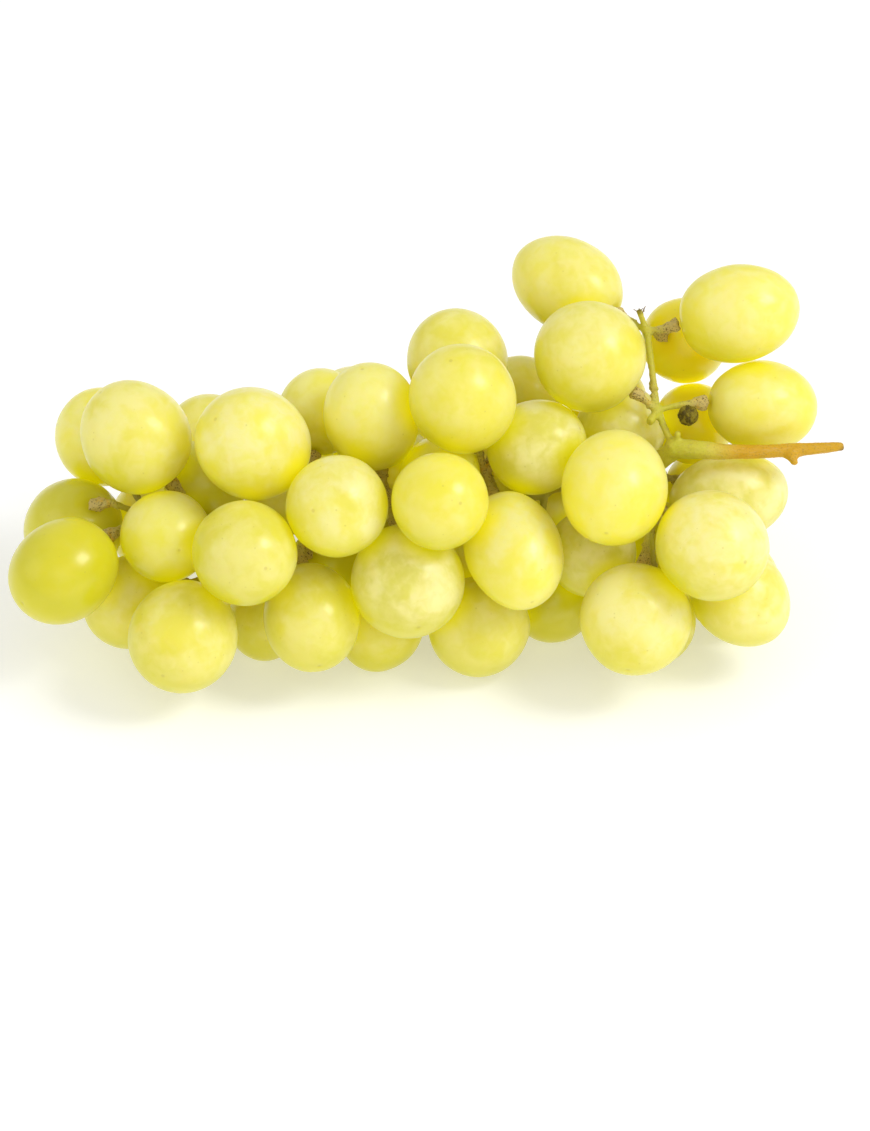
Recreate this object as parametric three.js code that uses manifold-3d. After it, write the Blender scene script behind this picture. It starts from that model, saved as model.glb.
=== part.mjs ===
// A bunch of large-berried white table grapes, lying on its side as picked.
//
// The stem is one grown skeleton: peduncle, rachis, laterals and pedicels. Every berry is a
// solid of its own, held at the end of its pedicel and wedged among its neighbours.
//
// Millimetres, +Z up. The origin is on the table under the middle of the bunch, and +X points
// along the bunch to the cut end of the peduncle.

import * as THREE from "three";
import { mergeVertices } from "three/addons/utils/BufferGeometryUtils.js";
import Module from "manifold-3d";

// The bunch is laid out on a plane that leans back from the table, as [across, up, out].
const LEAN = THREE.MathUtils.degToRad(35);
const LAYOUT_HEIGHT = 30.7;

// Each berry stands GAP clear of whatever is next to it, and the table presses REST_PRESS into the
// ones that it carries.
const BERRY_DETAIL = 2;
const GAP = 0.3;
const REST_PRESS = 0.5;

const RACHIS_SIDES = 8;
const RACHIS_STEPS = 30;
const LATERAL_SIDES = 6;
const PEDICEL_SIDES = 5;
const PEDICEL_STEPS = 3;
const LATERAL_RADIUS = 0.8;
const PEDICEL_RADIUS = 0.7;
const PEDICEL_BEND = 0.4;
const RECEPTACLE_RADIUS = 1.7;
const RECEPTACLE_START = 0.4;
const KNOT_RADIUS = 1.3;
const STUB_STEPS = 2;
const STUB_FLARE = 1 / 3;

// Settling first draws the berries to their berths, and then only pushes them apart, until no
// overlap is left that is larger than SETTLED.
const SETTLE_SWEEPS = 1500;
const FINAL_SWEEPS = 1500;
const BERTH_PULL = 0.02;
const SETTLED = 1e-4;
const SEARCH_STEPS = 30;

// How readily a berry gives way when it is pushed: the firm ones hold the outline of the bunch,
// and the loose ones fill its back and its middle.
const FIRM = 0.15;
const LOOSE = 1;

// The route of the peduncle and rachis, from the cut end to the tip of the bunch, and how thick
// it is there.
const RACHIS = [
  { at: [86, 12.6, 12], radius: 0.9 },
  { at: [84, 12.4, 12], radius: 1.1 },
  { at: [75.5, 11.8, 12.5], radius: 1.4 },
  { at: [65.5, 11.4, 13], radius: 1.45 },
  { at: [57.5, 11.6, 12.5], radius: 1.9 },
  { at: [51.5, 12.3, 11], radius: 2.3 },
  { at: [46, 7.5, 6], radius: 1.7 },
  { at: [36, 5.5, 1], radius: 1.6 },
  { at: [28, 5, -0.5], radius: 1.6 },
  { at: [16, 0.5, -1], radius: 1.5 },
  { at: [0, -3, -1], radius: 1.4 },
  { at: [-20, -4, -1], radius: 1.3 },
  { at: [-40, -4.6, 0], radius: 1.2 },
  { at: [-57.3, -2.5, -1], radius: 1.1 },
];

// Each fork is where a lateral splits into pedicels. It leaves the rachis at `root`, a distance
// along X, or grows on from another fork. Every berry has its berth as [across, up, out], its
// length along its own axis and its width; `tail` is the way its stem end faces where the
// pedicel bends, and `give` is FIRM unless it says otherwise.
const FORKS = {
  tip: {
    root: -57,
    at: [-57.3, -2.5, -1],
    berries: [
      { at: [-73, -4.5, -7], length: 23, width: 20, tail: [0.4, 0.42, 0.81] },
      { at: [-74.5, -13, 13], length: 24, width: 20.5, tail: [0.68, 0.55, -0.48] },
      { at: [-52.2, -5.5, 9.5], length: 19, width: 18.5 },
      { at: [-67.5, 15, -11], length: 20.5, width: 20 },
      { at: [-57, -2, -16], length: 21, width: 20.5, give: LOOSE },
    ],
  },
  left: {
    root: -42,
    at: [-46, -3.5, 2],
    berries: [
      { at: [-60.5, 14, 10], length: 24, width: 22 },
      { at: [-46, 5.5, -5], length: 17.5, width: 17, give: LOOSE },
      { at: [-37.5, -9.5, 23], length: 23, width: 21 },
    ],
  },
  left_low: {
    root: -38,
    at: [-44, -14, 1],
    berries: [
      { at: [-50, -26.5, 14], length: 24, width: 22 },
      { at: [-61.5, -19.5, -3], length: 20, width: 19 },
    ],
  },
  left_top: {
    root: -20,
    at: [-24, 5.5, 3],
    berries: [
      { at: [-35.5, 13, 16.5], length: 25, width: 22.5 },
      { at: [-22, 19.5, -3], length: 18, width: 17.5 },
    ],
  },
  low: {
    root: -22,
    at: [-26, -9, 3],
    berries: [
      { at: [-24, -22.5, 9.5], length: 23, width: 19.5 },
      { at: [-32.5, -24.5, -6.5], length: 18, width: 16 },
      { at: [-20, -12, -6], length: 17, width: 16, give: LOOSE },
    ],
  },
  middle: {
    root: -3,
    at: [-8, 2.5, 2],
    berries: [
      { at: [-11, 18.5, 12.5], length: 23, width: 19.5 },
      { at: [-18.5, 0, 23], length: 21, width: 20.5 },
      { at: [3, 1, 27], length: 20, width: 19.5 },
      { at: [-4, -15, 14.5], length: 23.5, width: 23 },
      { at: [3, 7.5, 8], length: 16.5, width: 16, give: LOOSE },
      { at: [-6.5, 7.5, -10], length: 21, width: 20, give: LOOSE },
    ],
  },
  low_middle: {
    root: 2,
    at: [-3, -12, -3],
    berries: [{ at: [-9.5, -25, -3.5], length: 19, width: 17 }],
  },
  top: {
    root: 16,
    at: [12, 8, 5],
    berries: [
      { at: [6.5, 30.5, 1], length: 21.5, width: 20.5 },
      { at: [7, 22, 21.5], length: 23.5, width: 21.5 },
      { at: [18, -9, 17], length: 26.5, width: 19.5 },
      { at: [23, 12.5, 10.5], length: 21, width: 19 },
      { at: [19.5, 22.5, -17], length: 18, width: 17.5 },
      { at: [14.5, 9.5, -6.5], length: 16.5, width: 16, give: LOOSE },
    ],
  },
  low_right: {
    root: 25,
    at: [21.5, -16, 2],
    berries: [
      { at: [11, -24.5, 1], length: 21, width: 20.5 },
      { at: [34, -9.5, 1.5], length: 18.5, width: 18 },
      { at: [26.5, -19, -11], length: 18, width: 17.5 },
      { at: [27, -1, -13], length: 17.5, width: 17, give: LOOSE },
    ],
  },
  shoulder: {
    root: 46,
    at: [46, 7.5, 6],
    berries: [
      { at: [38.5, 4, 22.5], length: 25, width: 21.5, tail: [0.15, 0.75, -0.65] },
      { at: [40.5, 16.5, -1], length: 18.5, width: 18 },
      { at: [56, 18, -10.5], length: 17, width: 16.5 },
    ],
  },
  right_low: {
    root: 44,
    at: [46.5, -1.5, 4],
    berries: [
      { at: [62.5, 2, 3], length: 25, width: 18 },
      { at: [58.5, -8, 23], length: 25, width: 22 },
      { at: [65, -18.5, 6], length: 21.5, width: 19 },
      { at: [43, -23, 14.5], length: 23, width: 22.5 },
      { at: [47.5, -24, -5], length: 17.5, width: 17 },
      { at: [63.5, -16, -12.5], length: 21, width: 20, give: LOOSE },
    ],
  },
  back_right: {
    root: 44,
    at: [49, 7, -8],
    berries: [
      { at: [47.5, -7, -11], length: 17.5, width: 17, give: LOOSE },
      { at: [38, 22.5, -19], length: 17, width: 16.5, give: LOOSE },
      { at: [60, 4, -20], length: 21, width: 20.5, give: LOOSE },
      { at: [39, 3, -25], length: 21, width: 20, give: LOOSE },
    ],
  },
  back_left: {
    root: -35,
    at: [-42, -4, -13],
    berries: [
      { at: [-29, 6, -14], length: 21, width: 20, give: LOOSE },
      { at: [-36.5, -12, -18], length: 20.5, width: 19.5, give: LOOSE },
      { at: [-46, 11, -20], length: 20.5, width: 20, give: LOOSE },
    ],
  },
  back_middle: {
    root: -16,
    at: [-18, 2, -22],
    berries: [
      { at: [-16, 18, -22], length: 21, width: 20.5, give: LOOSE },
      { at: [-10.5, -8.5, -22], length: 21, width: 21, give: LOOSE },
    ],
  },
  back_top: {
    root: 18,
    at: [19, 1, -19],
    berries: [
      { at: [5, 12, -23], length: 21.5, width: 20.5, give: LOOSE },
      { at: [8.5, -9.5, -14], length: 21, width: 20, give: LOOSE },
      { at: [23, -6, -26], length: 19, width: 18.5, give: LOOSE },
    ],
  },
  wing: {
    root: 51,
    at: [47.7, 20, 9],
    berries: [
      { at: [33.5, 31.5, 12], length: 23, width: 22.5 },
      { at: [69.5, 21, 4], length: 23, width: 18.5, tail: [-0.97, 0.05, 0.22] },
    ],
  },
  wing_top: {
    parent: "wing",
    at: [45.7, 36.5, 5],
    berries: [
      { at: [29.5, 46, -3.5], length: 25, width: 19 },
      { at: [64.5, 40, 8], length: 25, width: 20 },
      { at: [54, 34.5, -9], length: 18, width: 17.5 },
    ],
  },
};

// The peduncle is swollen where a tendril has dropped off it.
const SWELLING = { at: [75.3, 10.9, 12.8], radius: 1.8 };

// Short dead stubs, where a berry or a side shoot has dropped off: a foot on the stem and an end.
const STUBS = [
  { foot: [75.5, 11.8, 12.5], end: [75.8, 8.8, 14], radius: 0.7 },
  { foot: [51.5, 12.3, 11], end: [51.8, 15.6, 13], radius: 0.6 },
  { foot: [47.7, 20, 9], end: [46, 17.4, 11.5], radius: 0.8 },
  { foot: [45.7, 36.5, 5], end: [44, 41, 5.5], radius: 0.6 },
];

// The shot berry, which never grew, hangs just under the pedicel of its neighbour on the wing.
const SHOT_BERRY = { at: [54, 18.9, 12.5], width: 3.9 };

const SKIN = new THREE.MeshStandardMaterial({ color: 0xdcd25a, roughness: 0.35, metalness: 0 });
const STEM_BARK = new THREE.MeshStandardMaterial({ color: 0xb9a545, roughness: 0.7, metalness: 0 });
const SHRIVELLED_SKIN = new THREE.MeshStandardMaterial({ color: 0x6b6420, roughness: 0.8, metalness: 0 });

const wasm = await Module();
wasm.setup();

// The point of the part's frame where a layout point lies.
function placed([across, up, out]) {
  return new THREE.Vector3(
    across,
    up * Math.sin(LEAN) - out * Math.cos(LEAN),
    LAYOUT_HEIGHT + up * Math.cos(LEAN) + out * Math.sin(LEAN),
  );
}

// A direction of the layout, turned into the part's frame.
function turned(direction) {
  return placed(direction).sub(placed([0, 0, 0])).normalize();
}

// How far an ellipsoid berry reaches from its centre along a unit direction.
function reach(berry, direction) {
  const along = berry.axis.dot(direction);
  return Math.sqrt(berry.half ** 2 + (berry.halfLength ** 2 - berry.half ** 2) * along ** 2);
}

// The nearest point of a segment to a point, as the share of the way from a to b.
function nearestShare(point, a, b) {
  const way = b.clone().sub(a);
  return THREE.MathUtils.clamp(point.clone().sub(a).dot(way) / way.lengthSq(), 0, 1);
}

// ---- The layout as objects: forks and berries with places that can still move ----

const rachisCurve = new THREE.CatmullRomCurve3(RACHIS.map(({ at }) => placed(at)), false, "centripetal");

function rachisPointAtX(x) {
  let low = 0;
  let high = 1;
  for (let step = 0; step < SEARCH_STEPS; step += 1) {
    const middle = (low + high) / 2;
    if (rachisCurve.getPoint(middle).x > x) {
      low = middle;
    } else {
      high = middle;
    }
  }
  return rachisCurve.getPoint(low);
}

function rachisRadiusAt(share) {
  const place = share * (RACHIS.length - 1);
  const index = Math.min(Math.floor(place), RACHIS.length - 2);
  return THREE.MathUtils.lerp(RACHIS[index].radius, RACHIS[index + 1].radius, place - index);
}

function layOut() {
  const forks = {};
  const berries = [];
  for (const [name, { root, parent, at, berries: rows }] of Object.entries(FORKS)) {
    const foot = parent ? forks[parent].at : rachisPointAtX(root);
    const fork = { at: placed(at), foot, give: LOOSE };
    forks[name] = fork;
    for (const row of rows) {
      berries.push({
        fork,
        berth: placed(row.at),
        at: placed(row.at),
        half: row.width / 2,
        halfLength: row.length / 2,
        tail: row.tail ? turned(row.tail) : null,
        give: row.give ?? FIRM,
        axis: new THREE.Vector3(),
      });
    }
  }
  return { forks: Object.values(forks), berries };
}

// The stem end of a berry, and the two straight runs that its pedicel keeps close to.
function pedicelOf(berry) {
  const end = berry.at.clone().addScaledVector(berry.axis, berry.halfLength + GAP);
  const bend = end.clone().addScaledVector(berry.axis, PEDICEL_BEND * end.distanceTo(berry.fork.at));
  return { start: berry.fork.at, bend, end };
}

function turnBerries(berries) {
  for (const berry of berries) {
    if (berry.tail) {
      berry.axis.copy(berry.tail);
    } else {
      berry.axis.copy(berry.fork.at).sub(berry.at).normalize();
    }
  }
}

// ---- Settling: berries push each other, the stem and the table until nothing overlaps ----

function pushBerriesApart(berries) {
  let worst = 0;
  for (let i = 0; i < berries.length; i += 1) {
    for (let j = i + 1; j < berries.length; j += 1) {
      const way = berries[j].at.clone().sub(berries[i].at);
      const apart = way.length();
      way.divideScalar(apart);
      const overlap = reach(berries[i], way) + reach(berries[j], way) + GAP - apart;
      if (overlap > 0) {
        worst = Math.max(worst, overlap);
        const share = berries[i].give / (berries[i].give + berries[j].give);
        berries[i].at.addScaledVector(way, -overlap * share);
        berries[j].at.addScaledVector(way, overlap * (1 - share));
      }
    }
  }
  return worst;
}

// Pushes a berry off a straight run of stem, from a to b, and what the run hangs from, if that
// can move, the other way.
function pushOffRun(berry, a, b, radius, owner = null) {
  const near = a.clone().lerp(b, nearestShare(berry.at, a, b));
  const way = berry.at.clone().sub(near);
  const apart = way.length();
  way.divideScalar(apart);
  const overlap = reach(berry, way) + radius + GAP - apart;
  if (overlap <= 0) return 0;
  const share = owner ? berry.give / (berry.give + owner.give) : 1;
  berry.at.addScaledVector(way, overlap * share);
  if (owner) owner.at.addScaledVector(way, -overlap * (1 - share));
  return overlap;
}

function pushOffStem(berries, forks, rachisRuns) {
  let worst = 0;
  for (const berry of berries) {
    for (const run of rachisRuns) {
      worst = Math.max(worst, pushOffRun(berry, run.a, run.b, run.radius));
    }
    for (const fork of forks) {
      worst = Math.max(worst, pushOffRun(berry, fork.foot, fork.at, LATERAL_RADIUS, fork));
    }
    for (const other of berries) {
      if (other === berry) continue;
      const { start, bend, end } = pedicelOf(other);
      worst = Math.max(worst, pushOffRun(berry, start, bend, PEDICEL_RADIUS, other));
      worst = Math.max(worst, pushOffRun(berry, bend, end, PEDICEL_RADIUS, other));
    }
  }
  return worst;
}

function liftOffTable(berries) {
  const down = new THREE.Vector3(0, 0, -1);
  for (const berry of berries) {
    const sunk = reach(berry, down) - REST_PRESS - berry.at.z;
    if (sunk > 0) berry.at.z += sunk;
  }
}

function settle({ forks, berries }) {
  const rachisRuns = [];
  for (let step = 0; step < RACHIS_STEPS; step += 1) {
    const [from, to] = [step / RACHIS_STEPS, (step + 1) / RACHIS_STEPS];
    const radius = Math.max(rachisRadiusAt(from), rachisRadiusAt(to));
    rachisRuns.push({ a: rachisCurve.getPoint(from), b: rachisCurve.getPoint(to), radius });
  }
  let worst = Infinity;
  for (let sweep = 0; sweep < SETTLE_SWEEPS + FINAL_SWEEPS && worst > SETTLED; sweep += 1) {
    const settling = sweep < SETTLE_SWEEPS;
    turnBerries(berries);
    if (settling) {
      for (const berry of berries) berry.at.lerp(berry.berth, BERTH_PULL);
    }
    const stemWorst = pushOffStem(berries, forks, rachisRuns);
    worst = Math.max(stemWorst, pushBerriesApart(berries));
    liftOffTable(berries);
    if (settling) worst = Infinity;
  }
  turnBerries(berries);
}

// ---- Solids ----

function solidFrom(geometry) {
  const bare = geometry.clone();
  bare.deleteAttribute("normal");
  bare.deleteAttribute("uv");
  const merged = mergeVertices(bare);
  const vertProperties = merged.attributes.position.array;
  const triVerts = new Uint32Array(merged.index.array);
  return new wasm.Manifold(new wasm.Mesh({ numProp: 3, vertProperties, triVerts }));
}

function geometryFrom(solid) {
  const { vertProperties, triVerts } = solid.getMesh();
  const geometry = new THREE.BufferGeometry();
  geometry.setAttribute("position", new THREE.BufferAttribute(vertProperties, 3));
  geometry.setIndex(new THREE.BufferAttribute(triVerts, 1));
  return geometry;
}

// A closed round rod along a curve, with its radius given as a function of the way along it.
function rod(curve, radiusAt, sides, steps) {
  const geometry = new THREE.CylinderGeometry(1, 1, 1, sides, steps);
  const { normals, binormals } = curve.computeFrenetFrames(steps);
  const position = geometry.attributes.position;
  for (let index = 0; index < position.count; index += 1) {
    const ring = Math.round((0.5 - position.getY(index)) * steps);
    const radius = radiusAt(ring / steps);
    const point = curve.getPointAt(ring / steps);
    point.addScaledVector(normals[ring], radius * position.getX(index));
    point.addScaledVector(binormals[ring], radius * position.getZ(index));
    position.setXYZ(index, point.x, point.y, point.z);
  }
  return geometry;
}

function ball(at, radius) {
  return new THREE.IcosahedronGeometry(radius).translate(at.x, at.y, at.z);
}

function pedicelRadiusAt(share) {
  const flare = THREE.MathUtils.smoothstep(share, RECEPTACLE_START, 1);
  return THREE.MathUtils.lerp(PEDICEL_RADIUS, RECEPTACLE_RADIUS, flare ** 2);
}

// A berry's ellipsoid, its stem end up its own +Z, grown all round by a margin.
function berryGeometry(berry, margin = 0) {
  const width = berry.half + margin;
  return new THREE.IcosahedronGeometry(1, BERRY_DETAIL).scale(width, width, berry.halfLength + margin);
}

function placeOf(berry) {
  const up = new THREE.Vector3(0, 0, 1);
  const turn = new THREE.Quaternion().setFromUnitVectors(up, berry.axis);
  return new THREE.Matrix4().compose(berry.at, turn, new THREE.Vector3(1, 1, 1));
}

function buildStem(forks, berries, shotBerry) {
  const rachisRadius = (share) => rachisRadiusAt(rachisCurve.getUtoTmapping(share));
  const pieces = [rod(rachisCurve, rachisRadius, RACHIS_SIDES, RACHIS_STEPS)];
  pieces.push(ball(placed(SWELLING.at), SWELLING.radius));
  for (const { foot, at } of forks) {
    pieces.push(ball(at, KNOT_RADIUS));
    if (foot.distanceTo(at) > KNOT_RADIUS) {
      const lateral = new THREE.LineCurve3(foot, at);
      pieces.push(rod(lateral, () => LATERAL_RADIUS, LATERAL_SIDES, 1));
    }
  }
  for (const berry of berries) {
    const { start, bend, end } = pedicelOf(berry);
    const pedicel = new THREE.QuadraticBezierCurve3(start, bend, end);
    pieces.push(rod(pedicel, pedicelRadiusAt, PEDICEL_SIDES, PEDICEL_STEPS));
  }
  for (const { foot, end, radius } of STUBS) {
    const stub = new THREE.LineCurve3(placed(foot), placed(end));
    pieces.push(rod(stub, (share) => radius * (1 + STUB_FLARE * share), PEDICEL_SIDES, STUB_STEPS));
  }
  let stem = pieces.map(solidFrom).reduce((whole, piece) => whole.add(piece));
  for (const berry of [...berries, shotBerry]) {
    stem = stem.subtract(solidFrom(berryGeometry(berry, GAP).applyMatrix4(placeOf(berry))));
  }
  return geometryFrom(stem);
}

// A berry that the table presses is flat where it rests.
function pressedFlat(berry, geometry) {
  const side = 4 * berry.halfLength;
  const slab = new THREE.BoxGeometry(side, side, side).translate(berry.at.x, berry.at.y, -side / 2);
  slab.applyMatrix4(placeOf(berry).invert());
  return geometryFrom(solidFrom(geometry).subtract(solidFrom(slab)));
}

function berryMesh(berry, name, material) {
  const whole = berryGeometry(berry);
  const rests = reach(berry, new THREE.Vector3(0, 0, -1)) > berry.at.z;
  const mesh = new THREE.Mesh(rests ? pressedFlat(berry, whole) : whole, material);
  mesh.name = name;
  mesh.applyMatrix4(placeOf(berry));
  return mesh;
}

function buildBunch() {
  const layout = layOut();
  settle(layout);
  const { forks, berries } = layout;
  const shotBerry = {
    at: placed(SHOT_BERRY.at),
    half: SHOT_BERRY.width / 2,
    halfLength: SHOT_BERRY.width / 2,
    axis: new THREE.Vector3(0, 0, 1),
  };

  const bunch = new THREE.Group();
  const stem = new THREE.Mesh(buildStem(forks, berries, shotBerry), STEM_BARK);
  stem.name = "stem";
  bunch.add(stem);
  bunch.add(berryMesh(shotBerry, "shot_berry", SHRIVELLED_SKIN));
  berries.forEach((berry, index) => {
    bunch.add(berryMesh(berry, `berry_${String(index + 1).padStart(2, "0")}`, SKIN.clone()));
  });

  const middle = new THREE.Box3().setFromObject(bunch, true).getCenter(new THREE.Vector3());
  bunch.position.set(-middle.x, -middle.y, 0);
  return bunch;
}

export default buildBunch();
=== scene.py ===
"""The looks of a bunch of white table grapes that lies on its side on a pale table.

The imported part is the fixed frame: its berries give each fruit its place, size and axis, and its
stem gives the skeleton. Everything is in metres, in the frame's own axes (+Z up, +X towards the
cut end of the peduncle).
"""

from __future__ import annotations

import logging
import math
from dataclasses import dataclass, field
from enum import Enum

import bmesh
import bpy
import numpy as np
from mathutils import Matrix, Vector, noise


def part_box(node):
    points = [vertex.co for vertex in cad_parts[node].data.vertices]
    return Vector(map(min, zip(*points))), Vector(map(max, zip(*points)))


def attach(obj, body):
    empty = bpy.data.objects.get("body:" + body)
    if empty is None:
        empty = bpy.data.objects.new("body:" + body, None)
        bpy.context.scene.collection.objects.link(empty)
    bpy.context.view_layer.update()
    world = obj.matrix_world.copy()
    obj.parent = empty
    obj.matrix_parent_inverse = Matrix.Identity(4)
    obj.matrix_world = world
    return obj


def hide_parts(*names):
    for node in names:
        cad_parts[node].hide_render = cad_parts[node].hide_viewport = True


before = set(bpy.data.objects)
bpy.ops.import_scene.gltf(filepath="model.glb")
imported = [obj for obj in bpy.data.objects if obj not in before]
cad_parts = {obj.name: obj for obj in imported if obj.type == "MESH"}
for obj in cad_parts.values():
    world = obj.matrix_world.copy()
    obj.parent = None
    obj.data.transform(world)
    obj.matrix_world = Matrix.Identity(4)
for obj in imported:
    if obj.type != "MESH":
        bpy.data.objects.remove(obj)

LOG = logging.getLogger("grapes")
MM = 0.001
BODY = "root"
STEM_NODE = "stem"
SHOT_NODE = "shot_berry"
BERRY_PREFIX = "berry_"
TABLE_CONTACT = 0.05 * MM


class Link:
    """A node's output socket that Python's operators work on."""

    def __init__(self, graph: "Graph", socket: bpy.types.NodeSocket) -> None:
        """Wraps a socket.

        Args:
            graph: The graph that new nodes go into.
            socket: The output socket.
        """
        self.graph = graph
        self.socket = socket

    def _math(self, operation: str, *values: object) -> "Link":
        """Adds one Math node.

        Args:
            operation: What it works out.
            values: Its numbers or links, in order.

        Returns:
            Its result.
        """
        inputs = dict(zip(("Value", "Value_001", "Value_002"), values))
        return self.graph.node("ShaderNodeMath", {"operation": operation}, inputs)["Value"]

    def __add__(self, other: object) -> "Link":
        """self + other."""
        return self._math("ADD", self, other)

    __radd__ = __add__

    def __mul__(self, other: object) -> "Link":
        """self * other."""
        return self._math("MULTIPLY", self, other)

    __rmul__ = __mul__

    def __sub__(self, other: object) -> "Link":
        """self - other."""
        return self._math("SUBTRACT", self, other)

    def __rsub__(self, other: object) -> "Link":
        """other - self."""
        return self._math("SUBTRACT", other, self)

    def __truediv__(self, other: object) -> "Link":
        """self / other."""
        return self._math("DIVIDE", self, other)

    def __neg__(self) -> "Link":
        """-self."""
        return self * -1.0

    def exp(self) -> "Link":
        """e to the power of self."""
        return self._math("EXPONENT", self)

    def ramp(self, low: float, high: float) -> "Link":
        """Eases from 0, where self is at low, to 1, where it is at high.

        Args:
            low: Where the rise begins.
            high: Where it ends.

        Returns:
            The eased value.
        """
        inputs = {"Value": self, "From Min": low, "From Max": high}
        return self.graph.node("ShaderNodeMapRange", {"interpolation_type": "SMOOTHSTEP"}, inputs)["Result"]


class Made:
    """A node that has been added, whose outputs are read by name as links."""

    def __init__(self, graph: "Graph", node: bpy.types.Node) -> None:
        """Keeps the node with its graph.

        Args:
            graph: The graph that the node is in.
            node: The node.
        """
        self.graph = graph
        self.node = node

    def __getitem__(self, name: str) -> Link:
        """Finds an output.

        Args:
            name: Its name or identifier.

        Returns:
            The enabled output of that name.
        """
        for socket in self.node.outputs:
            if name in (socket.identifier, socket.name) and socket.enabled:
                return Link(self.graph, socket)
        raise KeyError(f"{self.node.bl_idname} has no output {name}")


class Graph:
    """A shader or geometry node tree that is written as Python calls."""

    def __init__(self, tree: bpy.types.NodeTree) -> None:
        """Starts from an empty tree.

        Args:
            tree: The node tree, whose nodes are cleared.
        """
        self.tree = tree
        tree.nodes.clear()

    def node(self, kind: str, settings: dict | None = None, inputs: dict | None = None) -> Made:
        """Adds a node.

        Args:
            kind: The node's type.
            settings: Its own properties, which are set first.
            inputs: Values or links by socket name or identifier; a list feeds one socket many links.

        Returns:
            The node, whose outputs can be read by name.
        """
        node = self.tree.nodes.new(kind)
        for name, value in (settings or {}).items():
            setattr(node, name, value)
        for name, value in (inputs or {}).items():
            socket = self._input(node, name)
            for item in value if isinstance(value, list) else [value]:
                if isinstance(item, Link):
                    self.tree.links.new(item.socket, socket)
                else:
                    socket.default_value = item
        return Made(self, node)

    @staticmethod
    def _input(node: bpy.types.Node, name: str) -> bpy.types.NodeSocket:
        """Finds an input.

        Args:
            node: The node.
            name: The input's name or identifier.

        Returns:
            The enabled input of that name.
        """
        for socket in node.inputs:
            if name in (socket.identifier, socket.name) and socket.enabled:
                return socket
        raise KeyError(f"{node.bl_idname} has no input {name}")

    def ramp(self, factor: Link, stops: list[tuple[float, tuple[float, float, float]]]) -> Link:
        """Colours a factor by a ramp.

        Args:
            factor: The value from 0 to 1.
            stops: Positions with their colours.

        Returns:
            The colour.
        """
        made = self.node("ShaderNodeValToRGB", None, {"Fac": factor})
        elements = made.node.color_ramp.elements
        while len(elements) < len(stops):
            elements.new(0.5)
        for element, (position, colour) in zip(elements, stops):
            element.position = position
            element.color = (*colour, 1.0)
        return made["Color"]

    def mix(self, factor: object, first: object, second: object, blend: str = "MIX") -> Link:
        """Mixes two colours.

        Args:
            factor: How much of the second, from 0 to 1.
            first: A colour or a link.
            second: A colour or a link.
            blend: The way they mix.

        Returns:
            The mixed colour.
        """
        settings = {"data_type": "RGBA", "blend_type": blend, "clamp_factor": True}
        inputs = {
            "Factor_Float": factor,
            "A_Color": first if isinstance(first, Link) else (*first, 1.0),
            "B_Color": second if isinstance(second, Link) else (*second, 1.0),
        }
        return self.node("ShaderNodeMix", settings, inputs)["Result_Color"]

    def attribute(self, name: str) -> Link:
        """A number that each point of the mesh carries."""
        return self.node("ShaderNodeAttribute", {"attribute_name": name})["Fac"]

    def noise(self, vector: Link, scale: float, detail: float = 2.0, distortion: float = 0.0) -> Link:
        """Soft noise from 0 to 1.

        Args:
            vector: Where to read it.
            scale: Waves per metre.
            detail: Octaves.
            distortion: How much it is warped.

        Returns:
            The noise value.
        """
        inputs = {"Vector": vector, "Scale": scale, "Detail": detail, "Distortion": distortion}
        return self.node("ShaderNodeTexNoise", {"noise_dimensions": "3D"}, inputs)["Fac"]

    def bump(self, height: Link, strength: float, distance: float) -> Link:
        """Turns a height into a normal.

        Args:
            height: The height, from 0 to 1.
            strength: How strongly it shows.
            distance: How high 1 is, in metres.

        Returns:
            The normal.
        """
        inputs = {"Strength": strength, "Distance": distance, "Height": height}
        return self.node("ShaderNodeBump", None, inputs)["Normal"]


def new_material(name: str) -> tuple[bpy.types.Material, Graph]:
    """Makes an empty node material.

    Args:
        name: Its name.

    Returns:
        The material and its graph.
    """
    material = bpy.data.materials.new(name)
    material.use_nodes = True
    return material, Graph(material.node_tree)


def geometry_graph(name: str, sizes: dict[str, str], takes_mesh: bool) -> tuple[Graph, Made]:
    """Makes an empty geometry node tree with named inputs.

    Args:
        name: The tree's name.
        sizes: Input names with their socket types.
        takes_mesh: Whether the tree starts from the object's own mesh.

    Returns:
        The graph and its group input.
    """
    tree = bpy.data.node_groups.new(name, "GeometryNodeTree")
    if takes_mesh:
        tree.interface.new_socket(name="Geometry", in_out="INPUT", socket_type="NodeSocketGeometry")
    for label, kind in sizes.items():
        tree.interface.new_socket(name=label, in_out="INPUT", socket_type=kind)
    tree.interface.new_socket(name="Geometry", in_out="OUTPUT", socket_type="NodeSocketGeometry")
    graph = Graph(tree)
    return graph, graph.node("NodeGroupInput")


def ended_tree(graph: Graph, geometry: Link, material: Link) -> bpy.types.NodeTree:
    """Ends a geometry node tree in real geometry that wears one material.

    Args:
        graph: The tree's graph.
        geometry: What the tree has made.
        material: The material that it is given.

    Returns:
        The finished tree.
    """
    real = graph.node("GeometryNodeRealizeInstances", None, {"Geometry": geometry})
    painted = graph.node(
        "GeometryNodeSetMaterial", None, {"Geometry": real["Geometry"], "Material": material}
    )
    graph.node("NodeGroupOutput", None, {"Geometry": painted["Geometry"]})
    return graph.tree


def random_size(graph: Graph, sizes: tuple[float, float], seed: Link) -> Link:
    """Draws a size for each point of a geometry node tree.

    Args:
        graph: The tree's graph.
        sizes: The smallest and the largest.
        seed: The seed that it is given.

    Returns:
        The size.
    """
    inputs = {"Min_001": sizes[0], "Max_001": sizes[1], "Seed": seed}
    return graph.node("FunctionNodeRandomValue", {"data_type": "FLOAT"}, inputs)["Value_001"]


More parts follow.
